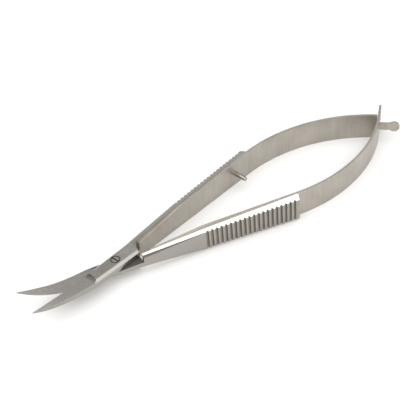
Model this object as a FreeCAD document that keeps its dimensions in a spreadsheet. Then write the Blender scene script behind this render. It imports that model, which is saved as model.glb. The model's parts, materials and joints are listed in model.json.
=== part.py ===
"""Spring-action scissors with curved blades: two crossed levers, two leaf springs and their fasteners.

Units are millimetres and degrees. Each lever is drawn closed, about its own pivot on the joint plane,
and is then turned by half of the opening. The tips point along -X and the springs along +X.
"""
import FreeCAD, Part
import math
import os
import re
import Sketcher

SIZES = {
    # Opening of the levers at rest, and the faces that slide on each other
    "half_opening": 9.5,
    "lap_clearance": 0.06,
    "running_clearance": 0.03,
    "stop_clearance": 0.15,
    "cut_overrun": 1.0,
    # Lap of the levers round the pivot
    "lap_front": 6.8,
    "lap_rear": 5.5,
    "lap_web": 0.45,
    "lap_half_width": 2.05,
    "lap_outer_offset": 2.3,
    "lap_thickness": 1.88,
    "lap_chamfer": 0.55,
    "lap_bevel": 1.3,
    "shoulder_gap": 0.5,
    # Blades
    "blade_reach": 23.2,
    "blade_back_reach": 16.0,
    "blade_back_offset": 1.0,
    "blade_back_radius": 45.0,
    "blade_root_offset": 2.2,
    "blade_edge_radius": 40.3,
    "blade_edge_thickness": 0.15,
    "blade_face_tilt": 20.0,
    "blade_hollow_radius": 115.0,
    "blade_bend_start": 9.1,
    "blade_bend_radius": 33.0,
    "blade_step_length": 0.8,
    "tip_overlap": 0.1,
    # Handles
    "handle_reach": 46.0,
    "handle_angle": 1.92,
    "handle_inner_offset": 1.13,
    "handle_outer_angle": 3.3,
    "handle_outer_offset": 1.73,
    "handle_end_slant": 0.5,
    "handle_rear_height": 6.0,
    "handle_top_tilt": 16.0,
    "handle_bevel": 0.65,
    "handle_bevel_end": 0.05,
    # Grip grooves
    "grip_height": 5.24,
    "grip_end_land": 0.6,
    "groove_pitch": 1.18,
    "groove_count": 20,
    "groove_width": 0.68,
    "groove_floor": 0.2,
    "groove_depth": 0.4,
    # Leaf springs
    "spring_height": 7.1,
    "spring_thickness": 0.63,
    "spring_grip_height": 5.95,
    "spring_grip_shift": 0.52,
    "spring_front_height": 3.9,
    "spring_front_drop": 1.35,
    "spring_corner_cut": 0.35,
    "spring_setback": 1.8,
    "spring_bend_radius": 40.1,
    "tail_length": 4.37,
    "tongue_length": 4.02,
    "tongue_height": 2.0,
    "tongue_gap": 0.1,
    "bulb_diameter": 2.85,
    "keyhole_clearance": 0.2,
    "keyhole_reach": 2.1,
    "slot_reach": 0.8,
    # Fasteners
    "screw_head_diameter": 2.1,
    "screw_head_height": 0.8,
    "screw_head_clearance": 0.1,
    "screw_shank_diameter": 1.4,
    "screw_slot_width": 0.35,
    "screw_slot_depth": 0.35,
    "screw_slot_angle": 97.0,
    "stop_pin_diameter": 1.1,
    "stop_pin_setback": 5.1,
    "rear_rivet_setback": 7.4,
    "front_rivet_inset": 3.6,
    "rivet_diameter": 1.9,
}

doc = FreeCAD.newDocument("spring_scissors")
sheet = doc.addObject("Spreadsheet::Sheet", "Sizes")
for row, (alias, value) in enumerate(SIZES.items(), start=1):
    sheet.set(f"A{row}", alias)
    sheet.set(f"B{row}", str(value))
    sheet.setAlias(f"B{row}", alias)
doc.recompute()

# Formulas that several pieces share
STOCK = "(spring_height + blade_reach / 2)"
SHOULDER = "(lap_rear + shoulder_gap)"
LAP_END = "(lap_rear + lap_web)"
HALF_GAP = "(lap_clearance / 2)"
GRIP_ANGLE = "(half_opening + handle_angle)"
HANDLE_LENGTH = "(handle_reach / cos(handle_angle))"
GRIP_START = "(handle_reach - handle_end_slant - grip_end_land - groove_count * groove_pitch)"
BLADE_END = "(blade_reach + cut_overrun)"
BLADE_RISE = f"(blade_bend_radius - sqrt(blade_bend_radius^2 - ({BLADE_END} - blade_bend_start)^2))"
SPRING_FRONT = f"({SHOULDER} + spring_setback)"
SPRING_FACE = "(handle_inner_offset * cos(handle_angle))"
SPRING_MIDDLE = f"({SPRING_FACE} - spring_thickness / 2)"
BEND_RISE = f"({HANDLE_LENGTH} * sin({GRIP_ANGLE}) + {SPRING_MIDDLE} * cos({GRIP_ANGLE}))"
CROSSING_SLOPE = f"(acos(cos({GRIP_ANGLE}) - {BEND_RISE} / spring_bend_radius) / 1deg)"
BEND_SWEEP = f"({GRIP_ANGLE} + {CROSSING_SLOPE})"
BEND_CENTRE = f"({SPRING_MIDDLE} - spring_bend_radius)"
CROSSING_X = (f"({HANDLE_LENGTH} * cos({GRIP_ANGLE}) - {SPRING_MIDDLE} * sin({GRIP_ANGLE})"
              f" + spring_bend_radius * (sin({GRIP_ANGLE}) + sin({CROSSING_SLOPE})))")
REAR_REACH = (f"({CROSSING_X} + (tongue_length + bulb_diameter / 2) * cos({CROSSING_SLOPE})"
              f" + spring_thickness / 2 * sin({CROSSING_SLOPE}))")
FRONT_REACH = "(blade_reach * cos(half_opening) - tip_overlap * sin(half_opening))"
PIVOT_X = f"(({FRONT_REACH} - {REAR_REACH}) / 2)"
JOINT_HEIGHT = "(spring_height / 2)"
STOP_STATION = f"({HANDLE_LENGTH} - stop_pin_setback)"
STOP_GAP = f"(handle_inner_offset - spring_thickness + {STOP_STATION} * tan(handle_angle))"
STOP_LENGTH = f"(2 * {STOP_GAP} - stop_clearance)"
FRONT_RIVET = f"({GRIP_START} + front_rivet_inset)"
REAR_RIVET = f"({HANDLE_LENGTH} - rear_rivet_setback)"


def refer(formula):
    """Turns the size names in a formula into references to the sheet."""
    return re.sub(r"[a-z_]+", lambda word: "Sizes." + word[0] if word[0] in SIZES else word[0], formula)


def measure(formula):
    """The present value of a formula."""
    return float(sheet.evalExpression(refer(formula)))


def bind(item, field, formula):
    item.setExpression(field, refer(formula))


def place(item, angle, side):
    """Sets a piece at the pivot on the joint plane, turned away from the X axis to its own side."""
    turn = FreeCAD.Rotation(FreeCAD.Vector(0, 0, side), measure(angle))
    item.Placement = FreeCAD.Placement(FreeCAD.Vector(), turn)
    bind(item, "Placement.Rotation.Angle", f"{angle} * 1deg")
    bind(item, "Placement.Base.x", PIVOT_X)
    bind(item, "Placement.Base.z", JOINT_HEIGHT)


def sketch_on(body, role, name, offset=None, turn=None):
    """A sketch on one of the body's own planes, moved along its axes and turned about one of them."""
    sketch = body.newObject("Sketcher::SketchObject", name)
    plane = [feature for feature in body.Origin.OriginFeatures if feature.Role == role]
    sketch.AttachmentSupport = [(plane[0], "")]
    sketch.MapMode = "FlatFace"
    if turn:
        axis, angle = turn
        sketch.AttachmentOffset = FreeCAD.Placement(
            FreeCAD.Vector(), FreeCAD.Rotation(FreeCAD.Vector(*axis), measure(angle)))
        bind(sketch, "AttachmentOffset.Rotation.Angle", f"({angle}) * 1deg")
    for letter, formula in (offset or {}).items():
        bind(sketch, f"AttachmentOffset.Base.{letter}", formula)
    return sketch


def constrain(sketch, name, kind, *rest):
    """Adds one dimension whose value is the formula that ends the list."""
    *elements, formula = rest
    index = sketch.addConstraint(Sketcher.Constraint(kind, *elements, measure(formula)))
    sketch.renameConstraint(index, name)
    bind(sketch, f"Constraints.{name}", formula)


def arc_between(start, end, radius, turn, long_way):
    """An arc from start to end, turning left (+1) or right (-1) on the way."""
    chord = end - start
    reach = math.sqrt(max(radius ** 2 - (chord.Length / 2) ** 2, 0))
    across = FreeCAD.Vector(-chord.y, chord.x, 0).normalize()
    centre = (start + end) / 2 + across * reach * turn * (-1 if long_way else 1)
    first, last = (start, end) if turn > 0 else (end, start)
    angles = [math.atan2(point.y - centre.y, point.x - centre.x) for point in (first, last)]
    return Part.ArcOfCircle(Part.Circle(centre, FreeCAD.Vector(0, 0, 1), radius), *angles)


def draw_outline(sketch, corners, arcs=()):
    """Draws a closed outline; arcs gives an edge's radius, its turn and whether it goes the long way."""
    arcs = dict(arcs)
    points = [FreeCAD.Vector(measure(across), measure(up), 0) for across, up in corners]
    ends = []
    for number, start in enumerate(points):
        end = points[(number + 1) % len(points)]
        if number in arcs:
            radius, turn, long_way = arcs[number]
            index = sketch.addGeometry(arc_between(start, end, measure(radius), turn, long_way))
            ends.append((index, 1, 2) if turn > 0 else (index, 2, 1))
        else:
            ends.append((sketch.addGeometry(Part.LineSegment(start, end)), 1, 2))
    for number, (index, _, last) in enumerate(ends):
        following, first, _ = ends[(number + 1) % len(ends)]
        sketch.addConstraint(Sketcher.Constraint("Coincident", index, last, following, first))
    for number, (across, up) in enumerate(corners):
        index, first, _ = ends[number]
        constrain(sketch, f"across_{number}", "DistanceX", -1, 1, index, first, across)
        constrain(sketch, f"up_{number}", "DistanceY", -1, 1, index, first, up)
    for number, (radius, _, _) in arcs.items():
        constrain(sketch, f"radius_{number}", "Radius", ends[number][0], radius)


def draw_circle(sketch, across, up, diameter):
    centre = FreeCAD.Vector(measure(across), measure(up), 0)
    index = sketch.addGeometry(Part.Circle(centre, FreeCAD.Vector(0, 0, 1), measure(diameter) / 2))
    constrain(sketch, "across", "DistanceX", -1, 1, index, 3, across)
    constrain(sketch, "up", "DistanceY", -1, 1, index, 3, up)
    constrain(sketch, "diameter", "Diameter", index, diameter)


def cut_through(body, sketch, name):
    """Cuts a sketch's outline right through the body, both ways."""
    pocket = body.newObject("PartDesign::Pocket", name)
    pocket.Profile = sketch
    pocket.Type = "ThroughAll"
    pocket.Type2 = "ThroughAll"
    pocket.SideType = "Two sides"
    return pocket


def cut_depth(body, sketch, name, depth, reverse=False, both_ways=False):
    pocket = body.newObject("PartDesign::Pocket", name)
    pocket.Profile = sketch
    pocket.SideType = "Symmetric" if both_ways else "One side"
    pocket.Reversed = reverse
    bind(pocket, "Length", depth)
    return pocket


def pad(body, sketch, name, length, reverse=False, both_ways=False):
    feature = body.newObject("PartDesign::Pad", name)
    feature.Profile = sketch
    feature.SideType = "Symmetric" if both_ways else "One side"
    feature.Reversed = reverse
    bind(feature, "Length", length)
    return feature


def turn_front(body, sketch, name):
    """Cuts a side outline swept about the pivot over the front half, where the blades are."""
    groove = body.newObject("PartDesign::Groove", name)
    groove.Profile = sketch
    groove.ReferenceAxis = (sketch, ["V_Axis"])
    groove.Midplane = True
    groove.Angle = 180
    return groove


def handle_line(station, face):
    """How far a face of the handle lies from the X axis at a station along the lever."""
    angle = "handle_angle" if face == "inner" else "handle_outer_angle"
    return f"(handle_{face}_offset + ({station}) * tan({angle}))"


def lever_blank(body, side):
    """The lever from above: blade, lap and handle."""
    end_outer = "(handle_reach - handle_end_slant)"
    corners = [
        ("-blade_reach", "-tip_overlap"),
        ("-blade_back_reach", "-blade_back_offset"),
        ("-lap_front", "-lap_half_width"),
        ("lap_rear", "-lap_half_width"),
        (LAP_END, handle_line(LAP_END, "inner")),
        ("handle_reach", handle_line("handle_reach", "inner")),
        (end_outer, handle_line(end_outer, "outer")),
        (GRIP_START, handle_line(GRIP_START, "outer")),
        ("lap_rear", "lap_outer_offset"),
        ("-lap_front", "blade_root_offset"),
    ]
    sketch = sketch_on(body, "XY_Plane", "plan")
    draw_outline(sketch, [(across, f"{side} * {up}") for across, up in corners],
                 {0: ("blade_back_radius", side, False), 9: ("blade_edge_radius", side, False)})
    pad(body, sketch, "blank", f"2 * {STOCK}", both_ways=True)


def lever_heights(body, side, outside):
    """Trims the lap flat, and the handle to faces that lean down towards its outer side."""
    for face, start in ((outside, "-(lap_front + blade_step_length)"), (-outside, "0")):
        word = "top" if face > 0 else "bottom"
        sketch = sketch_on(body, "XZ_Plane", f"lap_height_{word}")
        draw_outline(sketch, [
            (start, f"{face} * lap_thickness"),
            (LAP_END, f"{face} * lap_thickness"),
            (LAP_END, f"{face} * {STOCK}"),
            (start, f"{face} * {STOCK}"),
        ])
        cut_through(body, sketch, f"lap_trim_{word}")
        sketch = sketch_on(body, "XZ_Plane", f"handle_height_{word}",
                           turn=((-side * face, 0, 0), "handle_top_tilt"))
        stations = [
            (LAP_END, "lap_thickness", handle_line(LAP_END, "inner")),
            (GRIP_START, "grip_height / 2", handle_line(GRIP_START, "outer")),
            ("handle_reach", "handle_rear_height / 2", handle_line("handle_reach", "outer")),
        ]
        line = [(station, f"({height} * cos(handle_top_tilt) + {across} * sin(handle_top_tilt))")
                for station, height, across in stations]
        rear = "handle_reach + cut_overrun"
        corners = line + [(rear, line[-1][1]), (rear, f"2 * {STOCK}"), (LAP_END, f"2 * {STOCK}")]
        draw_outline(sketch, [(across, f"{face} * {up}") for across, up in corners])
        cut_through(body, sketch, f"handle_trim_{word}")


def lever_joint_face(body, outside):
    """Cuts the flat lap face, and ahead of it the face that follows the blades' curve round the pivot."""
    sketch = sketch_on(body, "XZ_Plane", "lap_profile")
    draw_outline(sketch, [
        ("-lap_front", f"{outside} * {HALF_GAP}"),
        (SHOULDER, f"{outside} * {HALF_GAP}"),
        (SHOULDER, f"-{outside} * {STOCK}"),
        ("-lap_front", f"-{outside} * {STOCK}"),
    ])
    cut_through(body, sketch, "lap_cut")
    sketch = sketch_on(body, "XZ_Plane", "mating_profile")
    draw_outline(sketch, [
        ("0", f"{outside} * {HALF_GAP}"),
        ("-blade_bend_start", f"{outside} * {HALF_GAP}"),
        (f"-{BLADE_END}", f"{outside} * {HALF_GAP} + {BLADE_RISE}"),
        (f"-{BLADE_END}", f"-{outside} * {STOCK}"),
        ("0", f"-{outside} * {STOCK}"),
    ], {1: ("blade_bend_radius", -1, False)})
    turn_front(body, sketch, "mating_face")


def lever_blade_back(body, outside):
    """Cuts the blade's outer face: a hollow step down from the lap, then a face that leans to the edge."""
    root = "(lap_front + blade_step_length)"
    low = "(blade_edge_thickness * cos(blade_face_tilt) + blade_root_offset * sin(blade_face_tilt))"
    tip = (f"(({BLADE_RISE} + {outside} * blade_edge_thickness) * cos(blade_face_tilt)"
           f" - {outside} * tip_overlap * sin(blade_face_tilt))")
    sketch = sketch_on(body, "XZ_Plane", "outer_profile", turn=((-1, 0, 0), "blade_face_tilt"))
    draw_outline(sketch, [
        ("-lap_front", f"{outside} * {STOCK}"),
        ("-lap_front", f"{outside} * ({low} + blade_step_length)"),
        (f"-{root}", f"{outside} * {low}"),
        (f"-{BLADE_END}", tip),
        (f"-{BLADE_END}", f"{outside} * {STOCK}"),
    ], {
        1: ("blade_step_length", -outside, False),
        2: (f"1 / (1 / blade_bend_radius - {outside} / blade_hollow_radius)", -1, False),
    })
    cut_through(body, sketch, "blade_face")


def lever_lap_chamfer(body, side, outside):
    """Bevels the lap's outer edge on the side away from the handle."""
    sketch = sketch_on(body, "YZ_Plane", "lap_bevel", {"z": "-(lap_front + blade_step_length)"})
    edge = f"-{side} * (lap_half_width + cut_overrun)"
    inside = f"-{side} * (lap_half_width - lap_chamfer - cut_overrun)"
    above = f"{outside} * (lap_thickness + cut_overrun)"
    draw_outline(sketch, [
        (edge, f"{outside} * (lap_thickness - lap_chamfer - cut_overrun)"),
        (inside, above),
        (edge, above),
    ])
    cut_depth(body, sketch, "lap_chamfer_cut", "lap_front + blade_step_length + lap_rear", reverse=True)


def lever_handle_bevels(body, side):
    """Bevels the outer edges, top and bottom, from the lap's front to where the grooves start."""
    stations = (
        ("-(lap_front + blade_step_length)", "blade_root_offset", "lap_thickness", "lap_bevel"),
        ("lap_rear", "lap_outer_offset", "lap_thickness", "handle_bevel"),
        (GRIP_START, handle_line(GRIP_START, "outer"), "grip_height / 2", "handle_bevel_end"),
    )
    for face in (1, -1):
        word = "top" if face > 0 else "bottom"
        sections = []
        for station, outer, height, bevel in stations:
            sketch = sketch_on(body, "YZ_Plane", f"bevel_{word}_{len(sections)}", {"z": station})
            draw_outline(sketch, [
                (f"{side} * ({outer} + cut_overrun)", f"{face} * ({height} - {bevel} - cut_overrun)"),
                (f"{side} * ({outer} - {bevel} - cut_overrun)", f"{face} * ({height} + cut_overrun)"),
                (f"{side} * ({outer} + cut_overrun)", f"{face} * ({height} + cut_overrun)"),
            ])
            sections.append(sketch)
        loft = body.newObject("PartDesign::SubtractiveLoft", f"bevel_{word}")
        loft.Profile = sections[0]
        loft.Sections = sections[1:]
        loft.Ruled = True


def lever_grip(body, side):
    """Grooves across the handle's outer face, square to that face's own line."""
    sketch = sketch_on(body, "XY_Plane", "groove_profile", {"y": f"{side} * handle_outer_offset"},
                       ((0, 0, side), "handle_outer_angle"))
    first = f"({GRIP_START} / cos(handle_outer_angle) + groove_pitch / 2)"
    half_profile = [
        ("groove_width / 2", "cut_overrun"),
        ("groove_width / 2", "0"),
        ("groove_floor / 2", "-groove_depth"),
    ]
    corners = [(f"{first} - {half}", f"{side} * {up}") for half, up in half_profile]
    corners += [(f"{first} + {half}", f"{side} * {up}") for half, up in reversed(half_profile)]
    draw_outline(sketch, corners)
    groove = cut_through(body, sketch, "groove")
    pattern = body.newObject("PartDesign::LinearPattern", "grooves")
    pattern.Originals = [groove]
    pattern.Direction = (sketch, ["H_Axis"])
    bind(pattern, "Length", "groove_pitch * (groove_count - 1)")
    bind(pattern, "Occurrences", "groove_count")
    body.Tip = pattern


def lever_pivot_hole(body, outside):
    """The pivot's bore: a running fit and the head's seat in the upper lever, a tight fit in the lower."""
    upper = outside > 0
    sketch = sketch_on(body, "XY_Plane", "pivot_circle")
    draw_circle(sketch, "0", "0", "screw_shank_diameter" + (" + 2 * running_clearance" if upper else ""))
    cut_through(body, sketch, "pivot_bore")
    if upper:
        sketch = sketch_on(body, "XY_Plane", "head_circle", {"z": "lap_thickness - screw_head_height"})
        draw_circle(sketch, "0", "0", "screw_head_diameter + 2 * screw_head_clearance")
        cut_depth(body, sketch, "head_seat", "screw_head_height + cut_overrun", reverse=True)


def make_lever(name, side, outside):
    """A lever without its rivet holes; side is the handle's side in Y, outside is up or down at the lap."""
    body = doc.addObject("PartDesign::Body", name)
    lever_blank(body, side)
    lever_heights(body, side, outside)
    lever_joint_face(body, outside)
    lever_blade_back(body, outside)
    lever_lap_chamfer(body, side, outside)
    lever_handle_bevels(body, side)
    lever_pivot_hole(body, outside)
    lever_grip(body, side)
    place(body, "half_opening", side)
    return body


def spring_blank(body, side, tail):
    """The strip from above: flat on the handle, one bend, and a straight tail past the crossing."""
    outer = "(spring_bend_radius + spring_thickness / 2)"
    inner = "(spring_bend_radius - spring_thickness / 2)"
    ahead = f"({tail}) * cos({BEND_SWEEP})"
    down = f"({tail}) * sin({BEND_SWEEP})"
    back = f"({SPRING_FACE} - spring_thickness)"

    def on_bend(radius):
        return (f"({HANDLE_LENGTH} + {radius} * sin({BEND_SWEEP}))",
                f"({BEND_CENTRE} + {radius} * cos({BEND_SWEEP}))")

    outer_end, inner_end = on_bend(outer), on_bend(inner)
    corners = [
        (SPRING_FRONT, SPRING_FACE),
        (SPRING_FRONT, back),
        (HANDLE_LENGTH, back),
        inner_end,
        (f"{inner_end[0]} + {ahead}", f"({inner_end[1]} - {down})"),
        (f"{outer_end[0]} + {ahead}", f"({outer_end[1]} - {down})"),
        outer_end,
        (HANDLE_LENGTH, SPRING_FACE),
    ]
    sketch = sketch_on(body, "XY_Plane", "plan")
    draw_outline(sketch, [(across, f"{side} * {up}") for across, up in corners],
                 {2: (inner, -side, False), 6: (outer, side, False)})
    pad(body, sketch, "strip", "spring_height", both_ways=True)


def spring_heights(body, side, front_drop):
    """Tapers the strip along the handle, with its front corners cut off; front_drop sets the front lower."""
    for face in (1, -1):
        word = "top" if face > 0 else "bottom"
        sketch = sketch_on(body, "XZ_Plane", f"taper_{word}")
        front = f"({SPRING_FRONT} - cut_overrun)"
        edge = f"(spring_front_height / 2 - {face} * {front_drop})"
        corners = [
            (front, f"({edge} - spring_corner_cut)"),
            (SPRING_FRONT, f"({edge} - spring_corner_cut)"),
            (f"{SPRING_FRONT} + spring_corner_cut", edge),
            (GRIP_START, f"(spring_grip_height / 2 - {face * side} * spring_grip_shift)"),
            (HANDLE_LENGTH, "spring_height / 2"),
            (HANDLE_LENGTH, STOCK),
            (front, STOCK),
        ]
        draw_outline(sketch, [(across, f"{face} * {up}") for across, up in corners])
        cut_through(body, sketch, f"taper_cut_{word}")


def tail_sketch(body, side, name):
    """A sketch in the middle of the strip's straight tail, its origin at the crossing."""
    return sketch_on(body, "XZ_Plane", name, {
        "x": f"{HANDLE_LENGTH} + spring_bend_radius * sin({BEND_SWEEP})",
        "z": f"-{side} * ({BEND_CENTRE} + spring_bend_radius * cos({BEND_SWEEP}))",
    }, ((0, -side, 0), BEND_SWEEP))


def cut_tongue(body, side):
    """Narrows the end of the strip to a tongue with a round bulb."""
    between = f"(2 * {CROSSING_SLOPE})"
    crossing_half = f"(spring_thickness / 2 * (1 / sin({between}) + 1 / tan({between})))"
    start = f"-({crossing_half} + tongue_gap)"
    end = "(tongue_length + bulb_diameter / 2 + cut_overrun)"
    neck = "(tongue_length - sqrt((bulb_diameter / 2)^2 - (tongue_height / 2)^2))"
    wide = "(spring_height / 2 + cut_overrun)"
    sketch = tail_sketch(body, side, "tongue_outline")
    draw_outline(sketch, [
        (start, wide),
        (start, "tongue_height / 2"),
        (neck, "tongue_height / 2"),
        (neck, "-tongue_height / 2"),
        (start, "-tongue_height / 2"),
        (start, f"-{wide}"),
        (end, f"-{wide}"),
        (end, wide),
    ], {2: ("bulb_diameter / 2", -1, True)})
    cut_depth(body, sketch, "tongue_cut", "4 * spring_thickness", both_ways=True)


def cut_keyhole(body, side):
    """Cuts the slot that holds the tongue, and the round entry that the bulb passes."""
    slot = "((tongue_height + keyhole_clearance) / 2)"
    entry = "((bulb_diameter + keyhole_clearance) / 2)"
    meet = f"(keyhole_reach - sqrt({entry}^2 - {slot}^2))"
    sketch = tail_sketch(body, side, "keyhole_outline")
    draw_outline(sketch, [
        ("-slot_reach", slot),
        ("-slot_reach", f"-{slot}"),
        (meet, f"-{slot}"),
        (meet, slot),
    ], {2: (entry, 1, True)})
    cut_depth(body, sketch, "keyhole_cut", "4 * spring_thickness", both_ways=True)


def make_spring(name, side, front_drop, tail, finish_tail):
    body = doc.addObject("PartDesign::Body", name)
    spring_blank(body, side, tail)
    spring_heights(body, side, front_drop)
    finish_tail(body, side)
    place(body, GRIP_ANGLE, side)
    return body


def make_plug(name, side, station, diameter, free_length="0"):
    """A round bar square through spring and handle, from the spring's inner face or a free end."""
    body = doc.addObject("PartDesign::Body", name)
    start = f"({SPRING_FACE} - spring_thickness - {free_length})"
    sketch = sketch_on(body, "XZ_Plane", "section", {"z": f"-{side} * {start}"})
    draw_circle(sketch, station, "0", diameter)
    length = f"{handle_line('handle_reach', 'outer')} - {start}"
    pad(body, sketch, "bar", length, reverse=side > 0)
    place(body, GRIP_ANGLE, side)
    return body


def combine(kind, name, first, second):
    item = doc.addObject(f"Part::{kind}", name)
    item.Base = first
    item.Tool = second
    return item


def make_screw():
    """The pivot screw: flush slotted head, and a shank through both levers."""
    body = doc.addObject("PartDesign::Body", "pivot_screw")
    sketch = sketch_on(body, "XZ_Plane", "half_section")
    seat = "(lap_thickness - screw_head_height)"
    draw_outline(sketch, [
        ("0", "-lap_thickness"),
        ("screw_shank_diameter / 2", "-lap_thickness"),
        ("screw_shank_diameter / 2", seat),
        ("screw_head_diameter / 2", seat),
        ("screw_head_diameter / 2", "lap_thickness"),
        ("0", "lap_thickness"),
    ])
    turned = body.newObject("PartDesign::Revolution", "turned")
    turned.Profile = sketch
    turned.ReferenceAxis = (sketch, ["V_Axis"])
    slot = sketch_on(body, "XY_Plane", "slot_outline", {"z": "lap_thickness - screw_slot_depth"},
                     ((0, 0, 1), "screw_slot_angle"))
    draw_outline(slot, [
        ("-screw_head_diameter", "-screw_slot_width / 2"),
        ("screw_head_diameter", "-screw_slot_width / 2"),
        ("screw_head_diameter", "screw_slot_width / 2"),
        ("-screw_head_diameter", "screw_slot_width / 2"),
    ])
    cut_depth(body, slot, "slot", "screw_slot_depth + cut_overrun", reverse=True)
    place(body, "half_opening", 1)
    return body


def rivet_through(lever, spring, plugs):
    """Drills the lever and spring for their plugs, and trims each plug flush with both."""
    stack = combine("Fuse", f"{lever.Name}_stack", lever, spring)
    rivets = []
    for plug in plugs:
        rivets.append(combine("Common", f"{plug.Name}_flush", plug, stack))
        lever = combine("Cut", f"{plug.Name}_lever_hole", lever, plug)
        spring = combine("Cut", f"{plug.Name}_spring_hole", spring, plug)
    return lever, spring, rivets


upper_lever = make_lever("upper_lever_solid", 1, 1)
lower_lever = make_lever("lower_lever_solid", -1, -1)
tongue_spring = make_spring("tongue_spring_solid", 1, "spring_front_drop",
                            "tongue_length + bulb_diameter / 2", cut_tongue)
keyhole_spring = make_spring("keyhole_spring_solid", -1, "0", "tail_length", cut_keyhole)
pivot_screw = make_screw()
stop_plug = make_plug("stop_plug", 1, STOP_STATION, "stop_pin_diameter")
upper_front_plug = make_plug("upper_front_plug", 1, FRONT_RIVET, "rivet_diameter")
lower_front_plug = make_plug("lower_front_plug", -1, FRONT_RIVET, "rivet_diameter")
lower_rear_plug = make_plug("lower_rear_plug", -1, REAR_RIVET, "rivet_diameter")

upper_lever, tongue_spring, (stop_root, upper_front_rivet) = rivet_through(
    upper_lever, tongue_spring, [stop_plug, upper_front_plug])
lower_lever, keyhole_spring, (lower_front_rivet, lower_rear_rivet) = rivet_through(
    lower_lever, keyhole_spring, [lower_front_plug, lower_rear_plug])
stop_bar = make_plug("stop_bar", 1, STOP_STATION, "stop_pin_diameter", STOP_LENGTH)
stop_free = combine("Cut", "stop_free", stop_bar, stop_plug)
stop_pin = combine("Fuse", "stop_pin_whole", stop_root, stop_free)

nodes = {
    "upper_lever": upper_lever,
    "lower_lever": lower_lever,
    "tongue_spring": tongue_spring,
    "keyhole_spring": keyhole_spring,
    "pivot_screw": pivot_screw,
    "stop_pin": stop_pin,
    "upper_front_rivet": upper_front_rivet,
    "lower_front_rivet": lower_front_rivet,
    "lower_rear_rivet": lower_rear_rivet,
}
for label, item in nodes.items():
    item.Label = label
doc.recompute()

for item in doc.Objects:
    if "Invalid" in item.State or "Error" in item.State:
        raise RuntimeError(f"{item.Name} failed: {item.State}")
for label, item in nodes.items():
    if item.Shape.isNull() or not item.Shape.isValid() or len(item.Shape.Solids) != 1:
        raise RuntimeError(f"{label} is not one valid solid")

os.makedirs("parts", exist_ok=True)
for label, item in nodes.items():
    item.Shape.exportStep(f"parts/{label}.step")
    box = item.Shape.BoundBox
    spans = [f"{low:.2f} to {high:.2f}" for low, high in
             ((box.XMin, box.XMax), (box.YMin, box.YMax), (box.ZMin, box.ZMax))]
    print(f"{label}: {item.Shape.Volume:.2f} mm3, X {spans[0]}, Y {spans[1]}, Z {spans[2]}")
print(f"pivot at X {measure(PIVOT_X):.4f}, Z {measure(JOINT_HEIGHT):.4f}")
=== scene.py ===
"""Looks of the spring-action scissors: bent leaf springs, ground steel and the photograph's camera."""
import bmesh
import bpy
import json
import math
from mathutils import Matrix, Vector


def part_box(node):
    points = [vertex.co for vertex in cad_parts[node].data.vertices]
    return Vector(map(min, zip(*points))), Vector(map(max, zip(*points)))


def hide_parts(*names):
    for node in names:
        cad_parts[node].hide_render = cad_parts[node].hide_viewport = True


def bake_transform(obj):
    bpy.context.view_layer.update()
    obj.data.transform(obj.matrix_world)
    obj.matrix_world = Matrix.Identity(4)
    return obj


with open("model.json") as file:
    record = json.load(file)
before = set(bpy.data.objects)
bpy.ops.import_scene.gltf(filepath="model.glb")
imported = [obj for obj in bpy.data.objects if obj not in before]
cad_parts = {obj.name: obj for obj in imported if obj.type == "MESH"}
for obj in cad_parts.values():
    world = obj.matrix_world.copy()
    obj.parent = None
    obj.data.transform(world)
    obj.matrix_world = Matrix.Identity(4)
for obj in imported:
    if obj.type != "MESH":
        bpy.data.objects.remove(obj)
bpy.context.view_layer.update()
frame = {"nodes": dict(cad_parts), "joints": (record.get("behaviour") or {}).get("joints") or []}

MM = 0.001
PIVOT = Vector(frame["joints"][0]["pos_m"])

# Sizes of the springs and handles, in millimetres and degrees
HALF_OPENING = 9.5
HANDLE_ANGLE = 1.92
HANDLE_REACH = 46.0
HANDLE_INNER = 1.13
HANDLE_OUTER = 1.73
OUTER_ANGLE = 3.3
GRIP_START = 21.3
LAP_FRONT = 6.8
SHOULDER = 6.0
SPRING_FRONT = 7.8
FRONT_HALF = 1.95
FRONT_DROP = 1.35
GRIP_HALF = 2.975
GRIP_SHIFT = 0.52
SPRING_HALF = 3.55
CORNER_CUT = 0.35
THICKNESS = 0.63
BEND_RADIUS = 40.1
TAIL = 4.37
TONGUE = 4.02
TONGUE_HALF = 1.0
TONGUE_GAP = 0.1
BULB_RADIUS = 1.425
SLOT_HALF = 1.1
SLOT_REACH = 0.8
ENTRY_RADIUS = 1.525
ENTRY_REACH = 2.1
REAR_RUN = 6.0
EDGE_ROUND = 0.05
EDGE_LIMIT = 35
BAND_SHARE = 0.6
DRILL_DEPTH = 20.0
MERGE = 1e-6

GRIP_ANGLE = math.radians(HALF_OPENING + HANDLE_ANGLE)
HANDLE_LENGTH = HANDLE_REACH / math.cos(math.radians(HANDLE_ANGLE))
MIDDLE = HANDLE_INNER * math.cos(math.radians(HANDLE_ANGLE)) - THICKNESS / 2
RISE = HANDLE_LENGTH * math.sin(GRIP_ANGLE) + MIDDLE * math.cos(GRIP_ANGLE)
SLOPE = math.acos(math.cos(GRIP_ANGLE) - RISE / BEND_RADIUS)
SWEEP = GRIP_ANGLE + SLOPE
CROSSING = HANDLE_LENGTH + BEND_RADIUS * SWEEP


# Springs

def on_strip(run, height, depth, side):
    """A place on a strip, by its run along the middle line, its height and its depth from that line."""
    if run < HANDLE_LENGTH:
        x, y, turn = run, MIDDLE, 0.0
    else:
        turn = min((run - HANDLE_LENGTH) / BEND_RADIUS, SWEEP)
        rest = max(run - CROSSING, 0.0)
        x = HANDLE_LENGTH + BEND_RADIUS * math.sin(turn) + rest * math.cos(turn)
        y = MIDDLE - BEND_RADIUS + BEND_RADIUS * math.cos(turn) - rest * math.sin(turn)
    x += depth * math.sin(turn)
    y += depth * math.cos(turn)
    c, s = math.cos(GRIP_ANGLE), math.sin(GRIP_ANGLE)
    return PIVOT + Vector((x * c - y * s, side * (x * s + y * c), height)) * MM


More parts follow.
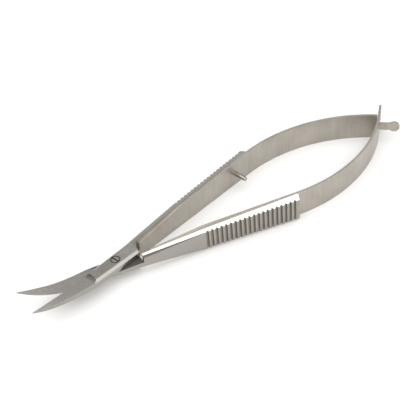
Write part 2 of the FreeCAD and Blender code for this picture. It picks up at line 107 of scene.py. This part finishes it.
def edge_height(run, face, side):
    """One edge's height from the middle: a cut corner, then two tapers up to the full height."""
    front = FRONT_HALF - (face * FRONT_DROP if side > 0 else 0)
    grip = GRIP_HALF - face * side * GRIP_SHIFT
    corner = SPRING_FRONT + CORNER_CUT
    if run < corner:
        return front + run - corner
    if run < GRIP_START:
        return front + (run - corner) / (GRIP_START - corner) * (grip - front)
    return grip + min((run - GRIP_START) / (HANDLE_LENGTH - GRIP_START), 1) * (SPRING_HALF - grip)


def spread(start, end, count):
    return [start + (end - start) * n / count for n in range(count + 1)]


def body_columns(end):
    """The runs of a strip's columns, from its front to the given run."""
    runs = [SPRING_FRONT] + spread(SPRING_FRONT + CORNER_CUT, GRIP_START, count=10)
    runs += spread(GRIP_START, HANDLE_LENGTH, count=14)[1:]
    runs += spread(HANDLE_LENGTH, CROSSING - REAR_RUN, count=56)[1:]
    runs += spread(CROSSING - REAR_RUN, end, count=12)[1:]
    return runs


def tongue_columns():
    """The tongue spring: full height, then a shoulder, the narrow tongue and its round bulb."""
    between = 2 * SLOPE
    half = THICKNESS / 2 * (1 / math.sin(between) + 1 / math.tan(between))
    shoulder = CROSSING - half - TONGUE_GAP
    columns = [(run, TONGUE_HALF, "abc") for run in body_columns(shoulder)]
    columns[-1] = (shoulder, TONGUE_HALF, "b")
    neck = math.sqrt(BULB_RADIUS ** 2 - TONGUE_HALF ** 2)
    columns += [(run, TONGUE_HALF, "b") for run in spread(shoulder, CROSSING + TONGUE - neck, count=10)[1:]]
    begin = math.pi - math.asin(TONGUE_HALF / BULB_RADIUS)
    for turn in spread(begin, 0, count=24)[1:]:
        columns.append((CROSSING + TONGUE + BULB_RADIUS * math.cos(turn), BULB_RADIUS * math.sin(turn), "b"))
    return columns


def keyhole_columns():
    """The keyhole spring: full height to its end, with a slot and a round entry."""
    start = CROSSING - SLOT_REACH
    columns = [(run, SLOT_HALF, "abc") for run in body_columns(start)]
    columns[-1] = (start, SLOT_HALF, "ac")
    neck = math.sqrt(ENTRY_RADIUS ** 2 - SLOT_HALF ** 2)
    columns += [(run, SLOT_HALF, "ac") for run in spread(start, CROSSING + ENTRY_REACH - neck, count=8)[1:]]
    begin = math.pi - math.asin(SLOT_HALF / ENTRY_RADIUS)
    entry = CROSSING + ENTRY_REACH
    for turn in spread(begin, 0, count=20)[1:]:
        columns.append((entry + ENTRY_RADIUS * math.cos(turn), ENTRY_RADIUS * math.sin(turn), "ac"))
    columns += [(run, 0.0, "ac") for run in spread(entry + ENTRY_RADIUS, CROSSING + TAIL, count=3)[1:]]
    return columns


def make_column(bm, run, heights, depth, side):
    """The points of a column up a strip; heights that meet share one point."""
    points = {height: bm.verts.new(on_strip(run, height, depth, side)) for height in sorted(set(heights))}
    return [points[height] for height in heights]


def make_strip(name, columns, side):
    """A strip of three bands a, b and c; each column names the bands that go on to the next column."""
    bm = bmesh.new()
    grid = []
    for run, band, _ in columns:
        low, high = edge_height(run, -1, side), edge_height(run, 1, side)
        heights = (-low, -min(band, BAND_SHARE * low), min(band, BAND_SHARE * high), high)
        grid.append([make_column(bm, run, heights, face * THICKNESS / 2, side) for face in (-1, 1)])
    for here, there, (_, _, bands) in zip(grid, grid[1:], columns):
        for letter in bands:
            low = "abc".index(letter)
            for face in (0, 1):
                ring = (here[face][low], there[face][low], there[face][low + 1], here[face][low + 1])
                bm.faces.new(tuple(dict.fromkeys(ring)))
    open_edges = [edge for edge in bm.edges if len(edge.link_faces) == 1]
    opposite = {}
    for pair in grid:
        for inner, outer in zip(*pair):
            opposite[inner] = outer
    for edge in open_edges:
        if edge.verts[0] in opposite and edge.verts[1] in opposite:
            a, b = edge.verts
            bm.faces.new((a, b, opposite[b], opposite[a]))
    bmesh.ops.delete(bm, geom=[v for v in bm.verts if not v.link_faces], context="VERTS")
    bmesh.ops.remove_doubles(bm, verts=bm.verts, dist=MERGE)
    bmesh.ops.dissolve_degenerate(bm, edges=bm.edges, dist=MERGE)
    bmesh.ops.recalc_face_normals(bm, faces=bm.faces)
    mesh = bpy.data.meshes.new(name)
    bm.to_mesh(mesh)
    bm.free()
    item = bpy.data.objects.new(name, mesh)
    bpy.context.scene.collection.objects.link(item)
    return item


def drill(item, node):
    """Opens the strip where a fastener of the frame passes through it."""
    low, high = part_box(node)
    centre = (low + high) / 2
    side = 1 if centre.y > 0 else -1
    radius = (high.z - low.z) / 2
    square = Matrix.Rotation(side * GRIP_ANGLE, 4, "Z") @ Matrix.Rotation(math.pi / 2, 4, "X")
    bm = bmesh.new()
    bmesh.ops.create_cone(bm, cap_ends=True, segments=48, radius1=radius, radius2=radius,
                          depth=DRILL_DEPTH * MM, matrix=Matrix.Translation(centre) @ square)
    mesh = bpy.data.meshes.new("drill")
    bm.to_mesh(mesh)
    bm.free()
    tool = bpy.data.objects.new("drill", mesh)
    bpy.context.scene.collection.objects.link(tool)
    cut = item.modifiers.new("hole", "BOOLEAN")
    cut.object = tool
    cut.operation = "DIFFERENCE"
    cut.solver = "EXACT"
    dg = bpy.context.evaluated_depsgraph_get()
    drilled = bpy.data.meshes.new_from_object(item.evaluated_get(dg))
    item.modifiers.clear()
    item.data = drilled
    bpy.data.objects.remove(tool)


def soften(item):
    """Rounds the sharp edges and shades the rest smooth."""
    bevel = item.modifiers.new("edge", "BEVEL")
    bevel.width = EDGE_ROUND * MM
    bevel.segments = 2
    bevel.limit_method = "ANGLE"
    bevel.angle_limit = math.radians(EDGE_LIMIT)
    bevel.harden_normals = True
    for polygon in item.data.polygons:
        polygon.use_smooth = True
    dg = bpy.context.evaluated_depsgraph_get()
    done = bpy.data.meshes.new_from_object(item.evaluated_get(dg))
    item.modifiers.clear()
    item.data = done


# Materials

def link(tree, source, output, target, entry):
    tree.links.new(source.outputs[output], target.inputs[entry])


def away_from_pivot(tree, place):
    """Distance from the pivot's axis."""
    flat = tree.nodes.new("ShaderNodeVectorMath")
    flat.operation = "MULTIPLY"
    flat.inputs[1].default_value = (1, 1, 0)
    link(tree, place, "Object", flat, 0)
    away = tree.nodes.new("ShaderNodeVectorMath")
    away.operation = "DISTANCE"
    away.inputs[1].default_value = (PIVOT.x, PIVOT.y, 0)
    link(tree, flat, "Vector", away, 0)
    return away


def along_lever(tree, place, turn):
    """Distance behind the pivot along a lever."""
    shift = tree.nodes.new("ShaderNodeVectorMath")
    shift.operation = "SUBTRACT"
    shift.inputs[1].default_value = PIVOT
    link(tree, place, "Object", shift, 0)
    along = tree.nodes.new("ShaderNodeVectorMath")
    along.operation = "DOT_PRODUCT"
    along.inputs[1].default_value = (math.cos(turn), -math.sin(turn), 0)
    link(tree, shift, "Vector", along, 0)
    return along


def fade(tree, measure, ramp, shader, start, end, factor):
    """Scales the colour from one to a factor, between two values of a measured distance."""
    share = tree.nodes.new("ShaderNodeMapRange")
    share.inputs["From Min"].default_value = start * MM
    share.inputs["From Max"].default_value = end * MM
    share.inputs["To Min"].default_value = 1.0
    share.inputs["To Max"].default_value = factor
    link(tree, measure, "Value", share, "Value")
    shade = tree.nodes.new("ShaderNodeVectorMath")
    shade.operation = "SCALE"
    link(tree, ramp, "Color", shade, 0)
    link(tree, share, "Result", shade, "Scale")
    link(tree, shade, "Vector", shader, "Base Color")


EVEN_GRAIN = (2500, 2500, 2500)
RELIEF = 0.02 * MM


def steel(name, dark, light, rough, grain=EVEN_GRAIN, turn=0.0, bump=0.1, painted_edge_shade=None, painted_sheen=None):
    """Ground steel: grain is how fine the marks are along each axis, in marks per metre."""
    material = bpy.data.materials.new(name)
    material.use_nodes = True
    tree = material.node_tree
    shader = tree.nodes["Principled BSDF"]
    shader.inputs["Metallic"].default_value = 1.0
    place = tree.nodes.new("ShaderNodeTexCoord")
    mapping = tree.nodes.new("ShaderNodeMapping")
    mapping.inputs["Rotation"].default_value = (0, 0, turn)
    mapping.inputs["Scale"].default_value = grain
    link(tree, place, "Object", mapping, "Vector")
    marks = tree.nodes.new("ShaderNodeTexNoise")
    marks.inputs["Scale"].default_value = 1.0
    marks.inputs["Detail"].default_value = 4.0
    marks.inputs["Roughness"].default_value = 0.65
    link(tree, mapping, "Vector", marks, "Vector")
    clouds = tree.nodes.new("ShaderNodeTexNoise")
    clouds.inputs["Scale"].default_value = 190.0
    clouds.inputs["Detail"].default_value = 3.0
    link(tree, place, "Object", clouds, "Vector")
    both = tree.nodes.new("ShaderNodeMath")
    both.operation = "MULTIPLY_ADD"
    both.inputs[1].default_value = 0.5
    link(tree, clouds, "Fac", both, 0)
    half = tree.nodes.new("ShaderNodeMath")
    half.operation = "MULTIPLY"
    half.inputs[1].default_value = 0.5
    link(tree, marks, "Fac", half, 0)
    link(tree, half, "Value", both, 2)
    ramp = tree.nodes.new("ShaderNodeValToRGB")
    ramp.color_ramp.elements[0].position = 0.36
    ramp.color_ramp.elements[0].color = (*dark, 1)
    ramp.color_ramp.elements[1].position = 0.64
    ramp.color_ramp.elements[1].color = (*light, 1)
    link(tree, both, "Value", ramp, "Fac")
    link(tree, ramp, "Color", shader, "Base Color")
    # Painted shade: the colour darkens away from the pivot's axis.
    if painted_edge_shade:
        fade(tree, away_from_pivot(tree, place), ramp, shader, *painted_edge_shade)
    # Painted highlight: the colour brightens between two places along the lever.
    if painted_sheen:
        fade(tree, along_lever(tree, place, turn), ramp, shader, *painted_sheen)
    gloss = tree.nodes.new("ShaderNodeMapRange")
    gloss.inputs["From Min"].default_value = 0.3
    gloss.inputs["From Max"].default_value = 0.7
    gloss.inputs["To Min"].default_value = rough - 0.05
    gloss.inputs["To Max"].default_value = rough + 0.07
    link(tree, marks, "Fac", gloss, "Value")
    link(tree, gloss, "Result", shader, "Roughness")
    relief = tree.nodes.new("ShaderNodeBump")
    relief.inputs["Strength"].default_value = bump
    relief.inputs["Distance"].default_value = RELIEF
    link(tree, marks, "Fac", relief, "Height")
    link(tree, relief, "Normal", shader, "Normal")
    return material


LEAN = math.radians(HALF_OPENING)
# Painted sheen on the blades' inner faces: up to half again as bright from 7 to 19 mm in front of the pivot.
BLADE_PAINTED_SHEEN = (-7.0, -19.0, 1.5)


def lever_steel(name, side, painted_sheen=None):
    """A lever's steel, ground along the lever; the optional brightening between two places along it is a
    painted highlight.
    """
    dark, light = (0.335, 0.318, 0.292), (0.37, 0.352, 0.326)
    return steel(name, dark, light, rough=0.22, grain=(500, 6000, 3000), turn=-side * LEAN, bump=0.06,
                 painted_sheen=painted_sheen)


upper_steel = lever_steel("upper_lever_steel", 1)
lower_steel = lever_steel("lower_lever_steel", -1)
# Painted highlight: the level tops of the laps and handles brighten from near the pivot towards the handles.
upper_painted_highlight = lever_steel("upper_lever_steel_painted_highlight", 1, (-0.5, 3.0, 1.22))
lower_painted_highlight = lever_steel("lower_lever_steel_painted_highlight", -1, (2.0, 9.0, 1.6))
# Painted sheen: the blades' inner faces brighten towards the tips.
upper_painted_blade_sheen = lever_steel("upper_lever_steel_painted_sheen", 1, BLADE_PAINTED_SHEEN)
lower_painted_blade_sheen = lever_steel("lower_lever_steel_painted_sheen", -1, BLADE_PAINTED_SHEEN)
# Painted shade on the shoulder's front face and a painted dark reflection in the scoop before each blade:
# darker, rougher steel.
painted_dim_shade_steel = steel("lever_steel_painted_dim_shade", (0.18, 0.165, 0.14), (0.25, 0.23, 0.195), rough=0.45)
# Grip grooves: real grain across them and a rougher finish, with a darker colour that paints the shade
# inside the grooves.
groove_painted_shade_steel = steel("lever_steel_groove_painted_shade", (0.26, 0.24, 0.205), (0.34, 0.315, 0.275), rough=0.42,
                     grain=(2500, 2500, 600))
# Painted deep shade: near-black steel round the screw's seat, on the laps' mating faces and in the screw's
# slot and sides, and a painted dark reflection on the handles' outer bevels.
painted_deep_shade_steel = steel("lever_steel_painted_deep_shade", (0.085, 0.077, 0.064), (0.13, 0.119, 0.1), rough=0.4)
spring_steel = steel("spring_steel_brushed", (0.377, 0.35, 0.314), (0.478, 0.446, 0.402), rough=0.36,
                     grain=(1500, 1500, 90), bump=0.35)
pin_steel = steel("fastener_steel_turned", (0.36, 0.34, 0.31), (0.46, 0.435, 0.4), rough=0.15)
# Painted shade: the screw's top darkens towards its edge, standing for the shade in the gap round its head.
screw_steel_painted_edge_shade = steel("fastener_steel_faced_painted_edge_shade", (0.335, 0.318, 0.292), (0.4, 0.38, 0.352), rough=0.24,
                    painted_edge_shade=(0.72, 0.95, 0.35))


def dress(item, material):
    item.data.materials.clear()
    item.data.materials.append(material)


# Pieces

# The finishes a lever's faces can take: polished and spring steel are plain; the others carry painted
# highlight, painted sheen and painted shade on the one steel.
POLISHED, PAINTED_DIM_SHADE, GROOVE_PAINTED_SHADE, PAINTED_DEEP_SHADE, PAINTED_HIGHLIGHT, PAINTED_BLADE_SHEEN, SPRING = range(7)
SEAT_RADIUS = 1.25
SCOOP_LENGTH = 0.85
SCOOP_FACING = 0.25
SCOOP_LEVEL = 0.5
MATING_REAR = -1.0
MATING_LEVEL = 0.1
TOP_LEVEL = 1.5
GROOVE_SKIN = 0.03
GROOVE_FLOOR = 0.42
SCREW_TOP = 0.02
NEAR = 0.05

# Cosines that tell level, sloped and upright faces apart
FLAT = 0.9
SLOPED = 0.4
UPRIGHT = 0.3


def is_groove(depth, facing, outward):
    """True on a groove's walls and floor, which lie a little below the handle's outer face."""
    return GROOVE_SKIN < depth < GROOVE_FLOOR and abs(facing.z) < 0.5 and outward > -0.1


def finish_of(centre, normal, side):
    """Which finish a lever has at a place: painted highlight on the level tops, painted sheen on the blades'
    inner faces, painted shade in the grip grooves, round the screw's seat, on the mating faces and on the
    shoulder, and a painted dark reflection on the handles' outer bevels and in the scoop.
    """
    turn = Matrix.Rotation(-side * LEAN, 4, "Z")
    place = turn @ (centre - PIVOT) / MM
    facing = turn @ normal
    outward = side * facing.y
    level = abs(facing.z)
    depth = HANDLE_OUTER + place.x * math.tan(math.radians(OUTER_ANGLE)) - side * place.y
    # Painted highlight on the level tops of the lap and handle.
    if level > FLAT and abs(place.z) > TOP_LEVEL and place.x > NEAR - LAP_FRONT:
        return PAINTED_HIGHLIGHT
    # Painted sheen on the blade's inner face.
    if place.x < -LAP_FRONT and side * facing.z < -UPRIGHT:
        return PAINTED_BLADE_SHEEN
    if place.x > GRIP_START:
        # Painted shade: darker steel on the grooves' walls and floor.
        return GROOVE_PAINTED_SHADE if is_groove(depth, facing, outward) else POLISHED
    # Painted dark reflection on the handle's outer bevel; painted shade on the walls of the screw's seat and
    # on the lap's mating face.
    bevel = SHOULDER < place.x and SLOPED < level < FLAT and outward > SLOPED
    seat = level < UPRIGHT and math.hypot(place.x, place.y) < SEAT_RADIUS
    mating = abs(place.z) < MATING_LEVEL and MATING_REAR < place.x < SHOULDER
    if bevel or seat or mating:
        return PAINTED_DEEP_SHADE
    # Painted shade on the shoulder's front face; painted dark reflection in the scoop before the blade.
    shoulder = facing.x < -FLAT and abs(place.x - SHOULDER) < NEAR
    in_scoop = -LAP_FRONT - SCOOP_LENGTH < place.x < -LAP_FRONT + NEAR
    scoop = facing.x < -SCOOP_FACING and in_scoop and abs(place.z) > SCOOP_LEVEL
    return PAINTED_DIM_SHADE if shoulder or scoop else POLISHED


def dress_parts(node, materials, choose):
    """Gives a node several materials; choose picks one of them for each face."""
    mesh = frame["nodes"][node].data
    mesh.materials.clear()
    for material in materials:
        mesh.materials.append(material)
    for polygon in mesh.polygons:
        polygon.material_index = choose(polygon)


def dress_lever(node, side, finishes):
    """Polish on a lever's open faces, with painted highlight, painted sheen and painted shade on the faces
    that finish_of picks.
    """
    dress_parts(node, finishes, lambda face: finish_of(face.center, face.normal, side))


def dress_rivet(node, side, finishes):
    """A flush rivet: the lever's finish at its outer end and the spring's at its inner end."""
    def choose(face):
        outer = side * face.normal.y > -0.5
        return finish_of(face.center, face.normal, side) if outer else SPRING

    dress_parts(node, (*finishes, spring_steel), choose)


def dress_screw(node):
    """The screw's turned top, darkened towards its edge, with painted shade in its slot and down its sides.
    """
    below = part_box(node)[1].z - SCREW_TOP * MM
    dress_parts(node, (screw_steel_painted_edge_shade, painted_deep_shade_steel), lambda face: int(face.center.z < below))


SPRINGS = (
    ("tongue_spring", tongue_columns(), 1, "upper", "lower", ("upper_front_rivet", "stop_pin")),
    ("keyhole_spring", keyhole_columns(), -1, "lower", "upper", ("lower_front_rivet", "lower_rear_rivet")),
)
for name, columns, side, own, other, holes in SPRINGS:
    spring = make_strip(f"{name}_strip", columns, side)
    for node in holes:
        drill(spring, node)
    soften(spring)
    dress(spring, spring_steel)
    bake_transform(spring)
    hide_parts(name)

upper_finishes = (upper_steel, painted_dim_shade_steel, groove_painted_shade_steel, painted_deep_shade_steel, upper_painted_highlight, upper_painted_blade_sheen)
lower_finishes = (lower_steel, painted_dim_shade_steel, groove_painted_shade_steel, painted_deep_shade_steel, lower_painted_highlight, lower_painted_blade_sheen)
dress_lever("upper_lever", 1, upper_finishes)
dress_lever("lower_lever", -1, lower_finishes)
dress_rivet("upper_front_rivet", 1, upper_finishes)
dress_rivet("lower_front_rivet", -1, lower_finishes)
dress_rivet("lower_rear_rivet", -1, lower_finishes)
dress_screw("pivot_screw")
dress(frame["nodes"]["stop_pin"], pin_steel)


# Stage, light and camera

FLOOR_REACH = 3.0
FLOOR_LEVEL = -0.02 * MM
FOCAL_PIXELS = 950
PHOTO_PIXELS = 416
SENSOR = 36
CAMERA_FROM_PIVOT = Vector((-61.31, -141.03, 158.32))
YAW, PITCH, ROLL = math.radians(58.274), math.radians(42.542), math.radians(-5.115)
TENT_AXIS = (-0.224, -0.358, 0.906)
TENT_STEPS = ((0.0, 0.4), (0.25, 0.3), (0.4, 0.35), (0.55, 0.8), (0.66, 1.15))


def make_floor():
    mesh = bpy.data.meshes.new("floor")
    signs = ((-1, -1), (1, -1), (1, 1), (-1, 1))
    corners = [(x * FLOOR_REACH, y * FLOOR_REACH, FLOOR_LEVEL) for x, y in signs]
    mesh.from_pydata(corners, [], [(0, 1, 2, 3)])
    floor = bpy.data.objects.new("floor", mesh)
    bpy.context.scene.collection.objects.link(floor)
    material = bpy.data.materials.new("floor_paper")
    material.use_nodes = True
    shader = material.node_tree.nodes["Principled BSDF"]
    shader.inputs["Base Color"].default_value = (0.7, 0.695, 0.687, 1)
    shader.inputs["Roughness"].default_value = 0.9
    shader.inputs["Specular IOR Level"].default_value = 0.1
    floor.data.materials.append(material)


def overhead_light(place, size, power):
    """A soft fill light from above that casts no shadow."""
    data = bpy.data.lights.new("overhead", "AREA")
    data.shape = "RECTANGLE"
    data.size, data.size_y = size, size
    data.energy = power
    data.use_shadow = False
    item = bpy.data.objects.new("overhead", data)
    item.location = place
    item.rotation_euler = (-Vector(place)).to_track_quat("-Z", "Y").to_euler()
    bpy.context.scene.collection.objects.link(item)


def make_world(axis, steps, strength):
    """A tent of soft light about an axis: each step gives a brightness by the cosine from that axis."""
    world = bpy.data.worlds.new("studio")
    world.use_nodes = True
    tree = world.node_tree
    place = tree.nodes.new("ShaderNodeTexCoord")
    toward = tree.nodes.new("ShaderNodeVectorMath")
    toward.operation = "DOT_PRODUCT"
    toward.inputs[1].default_value = Vector(axis).normalized()
    link(tree, place, "Generated", toward, 0)
    ramp = tree.nodes.new("ShaderNodeValToRGB")
    ramp.color_ramp.interpolation = "EASE"
    elements = ramp.color_ramp.elements
    while len(elements) < len(steps):
        elements.new(1.0)
    for element, (height, bright) in zip(elements, steps):
        element.position = height
        element.color = (bright, bright, bright, 1)
    link(tree, toward, "Value", ramp, "Fac")
    background = tree.nodes["Background"]
    background.inputs["Strength"].default_value = strength
    link(tree, ramp, "Color", background, "Color")
    bpy.context.scene.world = world


def make_camera():
    """The photograph's camera, from the pivot's place on the floor."""
    data = bpy.data.cameras.new("camera")
    data.sensor_width = SENSOR
    data.lens = FOCAL_PIXELS / PHOTO_PIXELS * SENSOR
    data.clip_start = 0.01
    item = bpy.data.objects.new("camera", data)
    item.location = Vector((PIVOT.x, PIVOT.y, 0)) + CAMERA_FROM_PIVOT * MM
    forward = Vector((math.cos(PITCH) * math.cos(YAW), math.cos(PITCH) * math.sin(YAW), -math.sin(PITCH)))
    level = Vector((math.sin(YAW), -math.cos(YAW), 0))
    upright = level.cross(forward)
    right = math.cos(ROLL) * level + math.sin(ROLL) * upright
    up = -math.sin(ROLL) * level + math.cos(ROLL) * upright
    item.rotation_euler = Matrix((right, up, -forward)).transposed().to_euler()
    bpy.context.scene.collection.objects.link(item)
    bpy.context.scene.camera = item


make_floor()
make_world(TENT_AXIS, TENT_STEPS, strength=1.8)
overhead_light(place=(0.0, 0.05, 0.45), size=0.35, power=0.35)
make_camera()
bpy.context.scene.view_settings.view_transform = "Standard"

bpy.context.view_layer.update()
